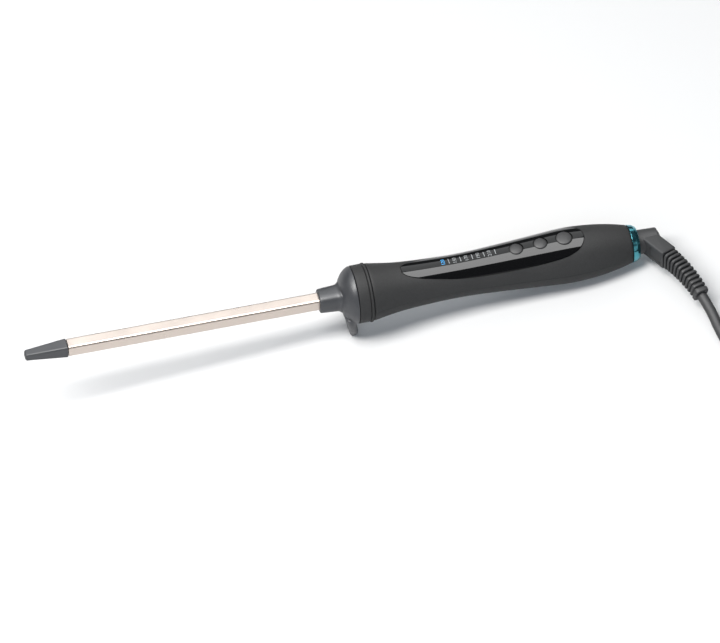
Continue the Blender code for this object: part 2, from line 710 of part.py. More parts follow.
def make_plug():
    body = ((0, 4.0, 4.0, 2), (15, 5.4, 5.0, 2.2), (19, 8.0, 5.8, 2.6), (31, 15.0, 6.6, 4),
            (37, 17.4, 6.8, 6), (53, 17.6, 6.8, 6), (54, 17.0, 6.2, 6))
    place(skin([plug_section(*step) for step in body]), "plug_body", "rubber", on_wand=False)
    front = body[-1][0] + GAP
    for name, side in (("left", -1), ("right", 1)):
        shape = ((front, PIN_RADIUS), (front + PIN_LENGTH - 1.5, PIN_RADIUS),
                 (front + PIN_LENGTH, PIN_RADIUS / 2))
        pin = skin([plug_section(distance, radius, radius, 2, 16) for distance, radius in shape])
        pin.transform(Matrix.Translation((side * PIN_SPACING / 2, 0, 0)))
        place(pin, "plug_pin_" + name, "brass", on_wand=False)


def main():
    clear_scene()
    wand_axis = bpy.data.objects.new("wand_axis", None)
    bpy.context.collection.objects.link(wand_axis)
    wand_axis.location = WAND_MATRIX.translation * MM
    wand_axis.rotation_euler = (0, LEAN, 0)
    bpy.context.view_layer.update()
    make_tip_cap()
    make_barrel()
    make_heater()
    make_front_cap()
    make_collar()
    make_upper_shell()
    make_lower_shell()
    make_shell_screws()
    make_rear_ring()
    make_control_panel()
    make_light_guide()
    make_buttons()
    make_switch_housings()
    make_circuit_board()
    make_board_screws()
    make_components()
    make_inner_wiring()
    make_swivel()
    make_strain_relief()
    make_cord()
    make_coil()
    make_tie()
    make_plug()


main()
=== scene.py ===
"""The looks of a slim curling wand with a square barrel, a rest foot and a swivel mains cord.

What is on the wand is drawn along its own axis, in millimetres: x runs from the tip to the cord, x = 0 is
the collar's plane, z points out of the control panel, and WAND turns that into the frame's metres. What
lies on the ground is drawn in the world's millimetres, and WORLD turns that into metres.
"""

import json
from math import atan2, cos, exp, pi, radians, sin, tan

import bmesh
import bpy
from mathutils import Matrix, Vector


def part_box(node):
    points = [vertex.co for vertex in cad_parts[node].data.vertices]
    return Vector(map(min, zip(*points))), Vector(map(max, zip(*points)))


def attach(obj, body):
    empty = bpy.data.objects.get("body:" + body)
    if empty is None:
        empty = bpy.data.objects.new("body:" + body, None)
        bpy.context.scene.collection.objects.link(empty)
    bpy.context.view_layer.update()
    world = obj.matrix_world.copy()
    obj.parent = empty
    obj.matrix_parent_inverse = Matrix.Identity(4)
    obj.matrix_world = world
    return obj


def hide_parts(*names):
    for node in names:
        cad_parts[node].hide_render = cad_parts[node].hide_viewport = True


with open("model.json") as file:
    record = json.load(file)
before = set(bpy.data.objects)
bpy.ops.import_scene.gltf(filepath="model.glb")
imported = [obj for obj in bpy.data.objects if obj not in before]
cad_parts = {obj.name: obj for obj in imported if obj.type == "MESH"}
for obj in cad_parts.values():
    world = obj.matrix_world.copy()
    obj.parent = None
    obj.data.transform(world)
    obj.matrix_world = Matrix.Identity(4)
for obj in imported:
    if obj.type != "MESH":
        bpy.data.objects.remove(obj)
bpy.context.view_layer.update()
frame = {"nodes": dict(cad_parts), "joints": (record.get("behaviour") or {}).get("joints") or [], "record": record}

MM = 0.001
WORLD = Matrix.Scale(MM, 4)
SWIVEL = next(joint for joint in frame["joints"] if joint["name"] == "cord_swivel")
ALONG = Vector(SWIVEL["axis"]).normalized()
OUT = ALONG.cross(Vector((0, 1, 0)))
TURN = Matrix((ALONG, (0, 1, 0), OUT)).transposed()
WAND = Matrix.Translation(SWIVEL["pos_m"]) @ TURN.to_4x4() @ WORLD
SLOT_OF = {row["node"]: row["material_slot"] for row in frame["record"]["subparts"]}

# Camera: where it looks from, and how wide the picture is at the wand
CAMERA_AZIMUTH = -7.67
CAMERA_ELEVATION = 50.23
CAMERA_ROLL = -8.45
PICTURE_WIDTH = 400.0
PICTURE_SHIFT = (2.8, -15.0)  # from the wand's collar to the picture's middle: right, up
LENS = 500.0
SENSOR = 36.0

# Handle outline (x, radius) and the panel's (x, half width round the handle)
HANDLE = ((8.7, 16.1), (24, 13.8), (42, 12.6), (62, 12.25), (84, 13.3), (104, 14.6), (122, 15.6),
          (138, 14.6), (150, 12.6), (157.5, 10.7))
PANEL = ((26.4, 2.0), (29, 4.2), (35, 6.4), (44, 8.2), (57, 10.3), (74, 11.8), (98, 12.7), (112, 12.4),
         (120, 11.4), (126, 8.8), (129.6, 5.0), (130.8, 1.6))
SHELL_START = 7.75  # where the shells' gripped surface starts, behind the trim ring
PANEL_THICKNESS = 1.2
GAP = 0.3
SEAM = 0.2  # degrees left open on each side of the joint between the shells
BUTTONS = (("minus", 92.3, 3.75), ("plus", 106.2, 3.75), ("power", 119.8, 4.5))
BUTTON_GAP = 0.35
LABELS = (("120", 50.6), ("150", 57.3), ("170", 64.0), ("190", 70.7), ("210", 77.2))
TICK_STEP = 3.3  # from a label to its tick
BARREL_HALF = 3.9
BARREL_CORNER = 1.5
NOZZLE_PROUD = 1.0  # the nozzle stands this far forward of the plain cap
NOZZLE_SQUARENESS = 3.0
FOOT_SQUARENESS = 3.6
FOOT_BOTTOM = -29.3
DOME = ((-9.4, 6.8), (-8.7, 8.4), (-7.6, 10.6), (-5.9, 13.0), (-3.9, 14.9), (-2.2, 15.9), (-0.8, 16.35))
CAP_SEAM = -0.8  # where the dome ends and the collar's sleeve starts
NECK_RADIUS = 7.0
ELBOW_X = 168.0

# Strain relief and cord
RELIEF_BEND = 67
RELIEF_RISE = 10
BLOCK_LENGTH = 20.0
BLOCK_HALVES = (4.8, 5.6)
RIBS = 11
RIB_SHARE = 0.56
CORE_HALF = 3.4
CORD_RADIUS = 3.0
CORD_LEAD = ((197.3, -46.9, 10.3), (199.8, -57.5, 7.1), (201.2, -70.0, 4.7), (203.9, -85.7, 3.3),
             (210.6, -97.9, 3.0), (220.0, -107.3, 3.0), (229.7, -113.6, 3.0))
CORD_TAIL = ((312.0, -96.5, 8.3), (315.8, -87.5, 7.6), (317.6, -78.0, 7.1), (318.0, -70.0, 6.85),
             (318.0, -62.3, 6.85))
COIL_CENTRE = Vector((264.5, -75.0, 0))
TURN_RADII = (24.0, 45.2)  # of the coil's innermost and outermost turns
TURNS = 3.5  # in each of the coil's two layers
LAYERS_Z = (3.05, 9.1)
TIE_ANGLE = 90
TIE_LIFT = 1.5  # the turns rise this much over the strap that runs under them
PLUG_REAR = (318.0, -62.0, 6.85)


# Shapes: every shape is a row of sections, and each section is a loop of points


def steps(low, high, count):
    """Evenly spaced values from low to high, both included."""
    return [low + (high - low) * index / (count - 1) for index in range(count)]


def smooth_curve(points):
    """A function y(x) through the points, without corners."""
    slopes = []
    for index in range(len(points)):
        before = points[max(index - 1, 0)]
        after = points[min(index + 1, len(points) - 1)]
        slopes.append((after[1] - before[1]) / (after[0] - before[0]))

    def value(x):
        index = 0
        while index < len(points) - 2 and x > points[index + 1][0]:
            index += 1
        (x0, y0), (x1, y1) = points[index], points[index + 1]
        span = x1 - x0
        t = min(max((x - x0) / span, 0.0), 1.0)
        return (y0 * (1 + 2 * t) * (1 - t) ** 2 + y1 * t * t * (3 - 2 * t)
                + span * (slopes[index] * t * (1 - t) ** 2 - slopes[index + 1] * t * t * (1 - t)))

    return value


handle_radius = smooth_curve(HANDLE)
panel_half_width = smooth_curve(PANEL)


def skin(sections, closed=False):
    """A closed solid over a row of equal sections: capped at its ends, or joined end to end."""
    bm = bmesh.new()
    loops = [[bm.verts.new(point) for point in section] for section in sections]
    pairs = list(zip(loops, loops[1:]))
    if closed:
        pairs.append((loops[-1], loops[0]))
    else:
        bm.faces.new(loops[0])
        bm.faces.new(loops[-1])
    for lower, upper in pairs:
        for index in range(len(lower)):
            after = (index + 1) % len(lower)
            bm.faces.new((lower[index], lower[after], upper[after], upper[index]))
    bmesh.ops.recalc_face_normals(bm, faces=bm.faces)
    return bm


def filleted(corners, count=5):
    """An outline through (x, y, fillet radius) corners, with each corner rounded."""
    outline = []
    for index, (x, y, radius) in enumerate(corners):
        corner = Vector((x, y))
        before = Vector(corners[index - 1][:2]) - corner
        after = Vector(corners[(index + 1) % len(corners)][:2]) - corner
        if not radius:
            outline.append(corner)
            continue
        half_angle = before.angle(after) / 2
        reach = min(radius / tan(half_angle), 0.49 * before.length, 0.49 * after.length)
        start, end = corner + before.normalized() * reach, corner + after.normalized() * reach
        for t in steps(0.0, 1.0, count):
            outline.append(start * (1 - t) ** 2 + corner * 2 * t * (1 - t) + end * t * t)
    return outline


def turned(profile, first=0.0, last=360.0, count=96):
    """A closed (x, radius) outline turned round the x axis, all the way or between two angles from +z."""
    full = last - first >= 360
    angles = steps(first, last, count + 1)
    sections = []
    for angle in angles[:-1] if full else angles:
        across, up = sin(radians(angle)), cos(radians(angle))
        sections.append([Vector((x, radius * across, radius * up)) for x, radius in profile])
    return skin(sections, closed=full)


def rounded_square(x, half, corner, count=9):
    """A section across the x axis: a square with round corners, or a circle when corner equals half."""
    points = []
    for quarter, (side, up) in enumerate(((1, 1), (-1, 1), (-1, -1), (1, -1))):
        for angle in steps(90 * quarter, 90 * quarter + 90, count):
            points.append(Vector((x, side * (half - corner) + corner * cos(radians(angle)),
                                  up * (half - corner) + corner * sin(radians(angle)))))
    return points


def squircle(x, half, exponent, count=9):
    """A section across the x axis between a circle and a square, point for point like rounded_square."""
    points = []
    for quarter in range(4):
        for angle in steps(90 * quarter + 90 / (2 * count), 90 * quarter + 90 - 90 / (2 * count), count):
            across, up = cos(radians(angle)), sin(radians(angle))
            scale = half * (abs(across) ** exponent + abs(up) ** exponent) ** (-1 / exponent)
            points.append(Vector((x, across * scale, up * scale)))
    return points


def post(levels, x=0.0, y=0.0, count=48):
    """A round solid along z whose radius changes with height."""
    angles = [2 * pi * index / count for index in range(count)]
    return skin([[Vector((x + radius * cos(angle), y + radius * sin(angle), z)) for angle in angles]
                 for z, radius in levels])


def block(x_range, y_range, z_range):
    corners = ((0, 0), (1, 0), (1, 1), (0, 1))
    return skin([[Vector((x_range[i], y_range[j], z)) for i, j in corners] for z in z_range])


def new_object(bm, name, matrix):
    bm.transform(matrix)
    mesh = bpy.data.meshes.new(name)
    bm.to_mesh(mesh)
    bm.free()
    obj = bpy.data.objects.new(name, mesh)
    bpy.context.collection.objects.link(obj)
    return obj


def apply_modifiers(obj):
    graph = bpy.context.evaluated_depsgraph_get()
    result = bpy.data.meshes.new_from_object(obj.evaluated_get(graph))
    obj.modifiers.clear()
    obj.data = result


def combine(obj, bm, operation, matrix=WAND):
    """Unite the object with a shape, or cut the shape out of it."""
    tool = new_object(bm, "tool", matrix)
    modifier = obj.modifiers.new("combine", "BOOLEAN")
    modifier.object = tool
    modifier.operation = operation
    modifier.solver = "EXACT"
    apply_modifiers(obj)
    bpy.data.objects.remove(tool)


def bevel(obj, width, segments=3, angle=40):
    """Round off the object's sharp edges, in millimetres."""
    modifier = obj.modifiers.new("bevel", "BEVEL")
    modifier.width = width * MM
    modifier.segments = segments
    modifier.limit_method = "ANGLE"
    modifier.angle_limit = radians(angle)
    apply_modifiers(obj)


def finished(obj, finish, body, stands_for=(), sharp=35):
    """Smooth shading, the finish, the body that the piece rides on and the nodes that it stands for."""
    obj.data.shade_smooth()
    obj.data.set_sharp_from_angle(angle=radians(sharp))
    obj.data.materials.clear()
    obj.data.materials.append(FINISHES[finish])
    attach(obj, body)
    if stands_for:
        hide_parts(*stands_for)
    return obj


def piece(bm, name, finish, body, stands_for=(), matrix=WAND, sharp=35):
    return finished(new_object(bm, name, matrix), finish, body, stands_for, sharp)


# Camera


def make_camera():
    azimuth, elevation, roll = radians(CAMERA_AZIMUTH), radians(CAMERA_ELEVATION), radians(CAMERA_ROLL)
    back = Vector((sin(azimuth) * cos(elevation), -cos(azimuth) * cos(elevation), sin(elevation)))
    level = Vector((cos(azimuth), sin(azimuth), 0))
    right = level * cos(roll) + back.cross(level) * sin(roll)
    up = back.cross(right)
    data = bpy.data.cameras.new("camera")
    data.lens = LENS
    data.sensor_width = SENSOR
    data.clip_start = 0.1
    data.clip_end = 50
    camera = bpy.data.objects.new("camera", data)
    bpy.context.collection.objects.link(camera)
    distance = PICTURE_WIDTH * MM * LENS / SENSOR
    middle = Vector(SWIVEL["pos_m"]) + right * PICTURE_SHIFT[0] * MM + up * PICTURE_SHIFT[1] * MM
    pose = Matrix((right, up, back)).transposed().to_4x4()
    pose.translation = middle + back * distance
    camera.matrix_world = pose
    bpy.context.scene.camera = camera


# Finishes


def node(tree, kind, inputs=None, **settings):
    """A shader node with its settings, and its inputs given as values or as sockets to link."""
    made = tree.nodes.new(kind)
    for key, value in settings.items():
        setattr(made, key, value)
    for key, value in (inputs or {}).items():
        if isinstance(value, bpy.types.NodeSocket):
            tree.links.new(value, made.inputs[key])
        else:
            made.inputs[key].default_value = value
    return made


def noise(tree, size_mm, detail=3.0, stretch=(1, 1, 1), roughness=0.5):
    """Noise whose features are about that size, fixed to the piece."""
    place = node(tree, "ShaderNodeTexCoord").outputs["Object"]
    turned_back = node(tree, "ShaderNodeMapping", {"Vector": place, "Scale": stretch})
    return node(tree, "ShaderNodeTexNoise", {"Vector": turned_back.outputs[0], "Scale": 1 / (size_mm * MM),
                                             "Detail": detail, "Roughness": roughness}).outputs["Fac"]


def spread(tree, value, low, high):
    """The noise, whose middle half is what matters, mapped to a range."""
    return node(tree, "ShaderNodeMapRange", {"Value": value, "From Min": 0.3, "From Max": 0.7,
                                             "To Min": low, "To Max": high}).outputs[0]


def finish(name, colour, roughness, metallic=0.0, grain=0.5, relief=0.02, mottle=0.12, patch=9.0,
           stretch=(1, 1, 1), roughness_spread=0.05, detail=3.0, **sockets):
    """A moulded, coated or plated surface: fine grain in its relief, slow mottling in its colour."""
    made = bpy.data.materials.new(name)
    made.use_nodes = True
    tree = made.node_tree
    shader = tree.nodes["Principled BSDF"]
    fine = noise(tree, grain, detail, stretch)
    slow = noise(tree, patch, 2.0)
    shade = node(tree, "ShaderNodeMath", {0: spread(tree, fine, 1 - mottle, 1 + mottle),
                                          1: spread(tree, slow, 1 - mottle / 3, 1 + mottle / 3)},
                 operation="MULTIPLY").outputs[0]
    tinted = node(tree, "ShaderNodeVectorMath", {0: colour, "Scale": shade}, operation="SCALE")
    bump = node(tree, "ShaderNodeBump", {"Height": fine, "Strength": 1.0, "Distance": relief * MM})
    tree.links.new(tinted.outputs[0], shader.inputs["Base Color"])
    tree.links.new(spread(tree, slow, roughness - roughness_spread, roughness + roughness_spread),
                   shader.inputs["Roughness"])
    tree.links.new(bump.outputs[0], shader.inputs["Normal"])
    shader.inputs["Metallic"].default_value = metallic
    for socket, value in sockets.items():
        shader.inputs[socket.replace("_", " ")].default_value = value
    FINISHES[name] = made
    return made


FINISHES = {}


def make_finishes():
    finish("soft_touch", (0.027, 0.027, 0.0275), 0.66, grain=0.42, relief=0.035, mottle=0.22, patch=14,
           Specular_IOR_Level=0.24)
    finish("heat_plastic", (0.036, 0.0375, 0.042), 0.42, grain=0.30, relief=0.008, mottle=0.06)
    finish("champagne", (0.57, 0.50, 0.452), 0.30, 1.0, grain=0.12, relief=0.0012, mottle=0.03,
           stretch=(0.03, 1, 1), patch=20)
    finish("gloss_black", (0.003, 0.003, 0.0033), 0.05, grain=3.0, relief=0.002, mottle=0.05,
           roughness_spread=0.01)
    finish("button_plastic", (0.030, 0.030, 0.031), 0.50, grain=0.22, relief=0.012, mottle=0.10)
    finish("teal_metal", (0.085, 0.32, 0.38), 0.17, 1.0, grain=0.6, relief=0.001, mottle=0.03, patch=5,
           roughness_spread=0.02)
    finish("rubber", (0.027, 0.0275, 0.029), 0.58, grain=0.35, relief=0.012, mottle=0.10)
    finish("cord_rubber", (0.026, 0.0265, 0.028), 0.60, grain=0.5, relief=0.012, mottle=0.12)
    finish("clear", (0.80, 0.88, 0.95), 0.15, grain=2.0, relief=0.002, mottle=0.03,
           Transmission_Weight=0.7)
    finish("led", (0.10, 0.45, 0.85), 0.3, grain=0.4, relief=0.003, mottle=0.05)
    finish("board", (0.03, 0.20, 0.08), 0.40, grain=1.2, relief=0.01, mottle=0.15, stretch=(1, 4, 1))
    finish("component", (0.035, 0.035, 0.04), 0.42, grain=0.3, relief=0.01, mottle=0.12)
    finish("capacitor", (0.55, 0.40, 0.05), 0.42, grain=0.8, relief=0.02, mottle=0.08)
    finish("ceramic", (0.80, 0.78, 0.73), 0.55, grain=0.25, relief=0.01, mottle=0.05)
    finish("aluminium", (0.72, 0.73, 0.74), 0.34, 1.0, grain=0.15, relief=0.004, mottle=0.06,
           stretch=(0.02, 1, 1))
    finish("brass", (0.74, 0.55, 0.24), 0.26, 1.0, grain=0.3, relief=0.002, mottle=0.05)
    finish("steel", (0.58, 0.58, 0.60), 0.30, 1.0, grain=0.2, relief=0.002, mottle=0.05)
    finish("wire", (0.75, 0.74, 0.69), 0.65, grain=0.25, relief=0.03, mottle=0.10)
    finish("inner_plastic", (0.60, 0.58, 0.52), 0.5, grain=0.4, relief=0.008, mottle=0.05)
    finish("label_white", (0.33, 0.34, 0.35), 0.5, grain=0.2, relief=0.003, mottle=0.06)
    lit = finish("label_blue", (0.04, 0.30, 0.62), 0.5, grain=0.2, relief=0.003, mottle=0.06)
    lit.node_tree.nodes["Principled BSDF"].inputs["Emission Color"].default_value = (0.03, 0.33, 0.75, 1)
    lit.node_tree.nodes["Principled BSDF"].inputs["Emission Strength"].default_value = 0.7


# Mains cord, its coil, tie and plug


def smooth_route(points, spacing):
    """Points about that far apart on a smooth curve through the route's own points."""
    places = [Vector(point) for point in points]
    ends = [2 * places[0] - places[1]] + places + [2 * places[-1] - places[-2]]
    route = []
    for p0, p1, p2, p3 in zip(ends, ends[1:], ends[2:], ends[3:]):
        pieces = max(1, round((p2 - p1).length / spacing))
        for t in steps(0.0, 1.0, pieces + 1)[:-1]:
            route.append(0.5 * (2 * p1 + (p2 - p0) * t + (2 * p0 - 5 * p1 + 4 * p2 - p3) * t * t
                                + (3 * p1 - p0 - 3 * p2 + p3) * t ** 3))
    route.append(places[-1])
    return route


def coil_point(angle, radius, z):
    """A place in the coil, lifted where the tie's strap runs under the turns."""
    from_tie = (angle - TIE_ANGLE + 180) % 360 - 180
    lift = TIE_LIFT * exp(-(from_tie / (22 * 30 / radius)) ** 2)
    return COIL_CENTRE + Vector((radius * cos(radians(angle)), radius * sin(radians(angle)), z + lift))


def coil_route():
    """Two layers of turns, wound inwards and then outwards on top."""
    inner, outer = TURN_RADII
    start = Vector(CORD_LEAD[-1]) - COIL_CENTRE
    join = degrees_of(start)
    reach = start.to_2d().length
    first, rise, merge = 50, 45, 15
    route = []
    for angle in range(merge, first, merge):
        share = angle / first
        ease = share * share * (3 - 2 * share)
        route.append(coil_point(join + angle, reach + (outer - reach) * ease, LAYERS_Z[0]))
    turn_angles = range(0, round(360 * TURNS) + 1, 10)
    angle0 = join + first
    for angle in turn_angles:
        radius = outer + (inner - outer) * angle / (360 * TURNS)
        route.append(coil_point(angle0 + angle, radius, LAYERS_Z[0]))
    angle0 += 360 * TURNS
    for angle in range(merge, rise, merge):
        share = angle / rise
        ease = share * share * (3 - 2 * share)
        route.append(coil_point(angle0 + angle, inner, LAYERS_Z[0] + (LAYERS_Z[1] - LAYERS_Z[0]) * ease))
    angle0 += rise
    end = Vector(CORD_TAIL[0]) - COIL_CENTRE
    leave = (degrees_of(end) - angle0) % 360 + 360 * int(TURNS) - 55
    for angle in range(0, round(leave) + 1, 10):
        route.append(coil_point(angle0 + angle, inner + (outer - inner) * angle / leave, LAYERS_Z[1]))
    angle0 += leave
    for share in (0.3, 0.6, 0.85):
        radius = outer + (end.to_2d().length - outer) * share ** 1.6
        route.append(coil_point(angle0 + 55 * share, radius, LAYERS_Z[1] + (end.z - LAYERS_Z[1]) * share))
    return route


def degrees_of(offset):
    return atan2(offset.y, offset.x) * 180 / pi


def make_cord():
    lead = smooth_route(CORD_LEAD, 5)
    tail = smooth_route(CORD_TAIL, 5)
    route = lead + smooth_route([lead[-1]] + coil_route() + [tail[0]], 3.5)[1:-1] + tail
    curve = bpy.data.curves.new("mains_cord", "CURVE")
    curve.dimensions = "3D"
    curve.bevel_depth = CORD_RADIUS * MM
    curve.bevel_resolution = 4
    curve.use_fill_caps = True
    spline = curve.splines.new("POLY")
    spline.points.add(len(route) - 1)
    for point, place in zip(spline.points, route):
        point.co = (*(place * MM), 1.0)
    spline.use_smooth = True
    curve.materials.append(FINISHES["cord_rubber"])
    cord = bpy.data.objects.new("mains_cord", curve)
    bpy.context.collection.objects.link(cord)
    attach(cord, "cord_side")
    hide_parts("cord_lead", "cord_coil", "cord_tail")
    return cord


def make_tie():
    """A hook-and-loop strap round the coil, with its free end lapped over the top."""
    low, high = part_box("cord_tie")
    low, high = low / MM, high / MM
    thickness = 1.2
    middle = (low + high) / 2
    half_y, half_z = (high.y - low.y - thickness) / 2, (high.z - low.z - thickness) / 2
    corners = ((-half_y, -half_z, 4), (half_y, -half_z, 4), (half_y, half_z, 4), (-half_y, half_z, 4))
    loop = filleted(corners, 9)
    sections = []
    for index, place in enumerate(loop):
        ahead, behind = loop[(index + 1) % len(loop)], loop[index - 1]
        heading = (ahead - behind).normalized()
        outward = Vector((heading.y, -heading.x)) * thickness / 2
        strip = []
        for side, out in ((-1, 1), (-0.97, 1.35), (0.97, 1.35), (1, 1), (1, -1), (-1, -1)):
            at = place + outward * (out if abs(out) == 1 else 1.0)
            strip.append(middle + Vector((side * (high.x - low.x) / 2, at.x, at.y)))
        sections.append(strip)
    strap = piece(skin(sections, closed=True), "cord_tie_strap", "soft_touch", "cord_side", ("cord_tie",),
                  matrix=WORLD)
    lap = filleted(((-9, -3.4, 2), (7, -3.4, 3.3), (7, 3.4, 3.3), (-9, 3.4, 2)), 6)
    top = high.z + 0.05
    end = skin([[Vector((middle.x + y, middle.y + x, z)) for x, y in lap] for z in (top, top + 0.9)])
    tongue = new_object(end, "cord_tie_end", WORLD)
    bevel(tongue, 0.25, 2)
    finished(tongue, "soft_touch", "cord_side", ())
    return strap, tongue


def plug_section(distance, half_width, half_height, exponent, count=64):
    """A section across the plug, which lies flat and points along +y."""
    x, y, z = PLUG_REAR
    points = []
    for index in range(count):
        angle = 2 * pi * (index + 0.5) / count
        scale = (abs(cos(angle)) ** exponent + abs(sin(angle)) ** exponent) ** (-1 / exponent)
        points.append(Vector((x + half_width * scale * cos(angle), y + distance,
                              z + half_height * scale * sin(angle))))
    return points


def make_plug():
    width = smooth_curve(((0, 4.0), (15, 5.2), (19, 6.6), (25, 11.0), (31, 15.2), (37, 17.3), (45, 17.6),
                          (52.6, 17.6)))
    height = smooth_curve(((0, 4.0), (15, 4.9), (19, 5.3), (31, 6.5), (37, 6.8), (45, 6.8), (52.6, 6.8)))
    square = smooth_curve(((0, 2.0), (15, 2.0), (22, 2.4), (31, 3.6), (37, 4.6), (52.6, 5.0)))
    sections = []
    for index in range(6):
        for offset, inset in ((0.0, 0.75), (0.35, 0.75), (0.6, 0.0), (1.7, 0.0), (1.95, 0.75)):
            at = 0.3 + 2.3 * index + offset
            sections.append(plug_section(at, width(at) - inset, height(at) - inset, 2))
    for at in steps(14.6, 52.6, 40):
        sections.append(plug_section(at, width(at), height(at), square(at)))
    for turn in steps(0, 90, 7)[1:]:
        inset = 1.4 * (1 - cos(radians(turn)))
        sections.append(plug_section(52.6 + 1.4 * sin(radians(turn)), 17.6 - inset, 6.8 - inset, 5.0))
    body = new_object(skin(sections), "mains_plug", WORLD)
    x, y, z = PLUG_REAR
    for side in (-1, 1):
        dish = [[Vector((x + point.x, y + 33 + point.y, z + side * level)) for point in outline]
                for level, outline in ((6.35, grip_outline(0)), (7.4, grip_outline(1.0)))]
        combine(body, skin(dish), "DIFFERENCE", WORLD)
    finished(body, "rubber", "cord_side", ("plug_body",))
    pins = []
    for side, name in ((-1, "left"), (1, "right")):
        low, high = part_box("plug_pin_" + name)
        centre = (low + high) / 2 / MM
        radius = (high.z - low.z) / 2 / MM
        length = (high.y - low.y) / MM
        # the sleeve covers the half of the pin that is nearest the plug
        sleeve = filleted(((0.02, radius * 0.9, 0), (0.02, radius, 0), (length * 0.5, radius, 0.15),
                           (length * 0.5, radius * 0.9, 0)), 3)
        bare = filleted(((0, 0.02, 0), (0, radius * 0.88, 0), (length * 0.5, radius * 0.88, 0),
                         (length * 0.5, radius, 0.12), (length, radius, 1.3), (length, 0.02, 0)), 7)
        start = Vector((centre.x, low.y / MM, centre.z))
        stand = WORLD @ Matrix.Translation(start) @ Matrix.Rotation(radians(90), 4, "Z")
        pins.append(piece(turned(bare, count=40), "mains_pin_" + name, "brass", "cord_side",
                          ("plug_pin_" + name,), matrix=stand))
        pins.append(piece(turned(sleeve, count=40), "pin_sleeve_" + name, "rubber", "cord_side",
                          matrix=stand))
    return [body] + pins


def grip_outline(grow):
    """The finger dish in the plug's flat face, wider by grow."""
    return [point.to_3d() for point in filleted(((-8 - grow, -5 - grow, 4), (8 + grow, -5 - grow, 4),
                                                 (10 + grow, 13 + grow, 5), (-10 - grow, 13 + grow, 5)), 8)]


# Strain relief


def relief_frame():
    """The strain relief's directions in the world: along it and up from it."""
    bend, rise = radians(RELIEF_BEND), radians(RELIEF_RISE)
    outward = Vector((0, -cos(rise), sin(rise)))
    along = TURN @ (Vector((1, 0, 0)) * cos(bend) + outward * sin(bend))
    return along, TURN @ Vector((0, sin(rise), cos(rise)))


def relief_section(centre, along, up, half_across, half_up, chamfer):
    """An eight-sided section: a rectangle with its corners cut, and the cuts' edges eased."""
    across = up.cross(along).normalized()
    level = along.cross(across).normalized()
    cut_across, cut_up = chamfer * half_across, chamfer * half_up
    corners = ((-half_across, cut_up - half_up), (cut_across - half_across, -half_up),
               (half_across - cut_across, -half_up), (half_across, cut_up - half_up),
               (half_across, half_up - cut_up), (half_across - cut_across, half_up),
               (cut_across - half_across, half_up), (-half_across, half_up - cut_up))
    outline = filleted([(a, b, 0.35 * chamfer * half_up / 0.22) for a, b in corners], 3)
    return [centre + across * point.x + level * point.y for point in outline]


def make_strain_relief():
    """Neck with a rounded end on the wand's axis, a block out of its side, and ribs on a thin core."""
    elbow = (WAND @ Vector((ELBOW_X, 0, 0))) / MM
    along, up = relief_frame()
    block_end = elbow + along * BLOCK_LENGTH
    exit_point = Vector(CORD_LEAD[0])
    exit_along = (Vector(CORD_LEAD[1]) - Vector(CORD_LEAD[0])).normalized()
    reach = (exit_point - block_end).length / 3

    neck = [(156.5, 0.02), (156.5, NECK_RADIUS), (161.2, NECK_RADIUS), (163.0, NECK_RADIUS - 0.15)]
    neck += [(ELBOW_X + 5.2 + 0.8 * sin(radians(angle)), NECK_RADIUS - 1.2 + 0.8 * cos(radians(angle)))
             for angle in steps(0, 60, 6)] + [(ELBOW_X + 7.4, 3.0), (ELBOW_X + 7.5, 0.02)]
    relief = new_object(turned(neck, count=72), "cord_strain_relief", WAND)

    across_half, up_half = BLOCK_HALVES
    distances = [0.0, BLOCK_LENGTH - 0.45, BLOCK_LENGTH]
    insets = [0.0, 0.0, 0.4]
    box = [relief_section(elbow + along * distance, along, up, across_half - inset, up_half - inset, 0.13)
           for distance, inset in zip(distances, insets)]
    combine(relief, skin(box), "UNION", WORLD)
    across = up.cross(along).normalized()
    level = along.cross(across).normalized()
    window = filleted(((8.6, -3.6, 0.7), (18.6, -3.6, 0.7), (18.6, 3.6, 0.7), (8.6, 3.6, 0.7)), 5)
    recess = [[elbow + along * point.x + level * point.y - across * depth for point in window]
              for depth in (across_half - 0.5, across_half + 0.6)]
    combine(relief, skin(recess), "DIFFERENCE", WORLD)

    def centre(t):
        """The ribs' centre line, from the block's end to where the cord comes out."""
        near, far = block_end + along * reach, exit_point - exit_along * reach
        return (block_end * (1 - t) ** 3 + near * 3 * t * (1 - t) ** 2 + far * 3 * t * t * (1 - t)
                + exit_point * t ** 3)

    sections = [relief_section(block_end - along * 0.8, along, up, CORE_HALF, CORE_HALF, 0.3)]
    for index in range(RIBS):
        size = 1.0 - 0.14 * index / (RIBS - 1)
        start = (index + 1 - RIB_SHARE) / (RIBS + 0.35)
        end = 1.0 if index == RIBS - 1 else (index + 1) / (RIBS + 0.35)
        edge = 0.012
        for t, inset in ((start, None), (start, 0.3), (start + edge, 0.0), (end - edge, 0.0), (end, 0.3),
                         (end, None)):
            if inset is None and t == 1.0:
                continue
            heading = (centre(min(t + 0.02, 1.0)) - centre(t - 0.02)).normalized()
            if inset is None:
                sections.append(relief_section(centre(t), heading, up, CORE_HALF, CORE_HALF, 0.3))
            else:
                sections.append(relief_section(centre(t), heading, up, across_half * size - inset,
                                               up_half * size - inset, 0.3))
    combine(relief, skin(sections), "UNION", WORLD)
    finished(relief, "rubber", "cord_side", ("strain_relief",), sharp=28)
    return relief


# Barrel, tip and front cap


def span(name):
    """A node's lowest and highest corner in the wand's own millimetres."""
    back = WAND.inverted()
    places = [back @ vertex.co for vertex in frame["nodes"][name].data.vertices]
    return (Vector([min(place[axis] for place in places) for axis in range(3)]),
            Vector([max(place[axis] for place in places) for axis in range(3)]))


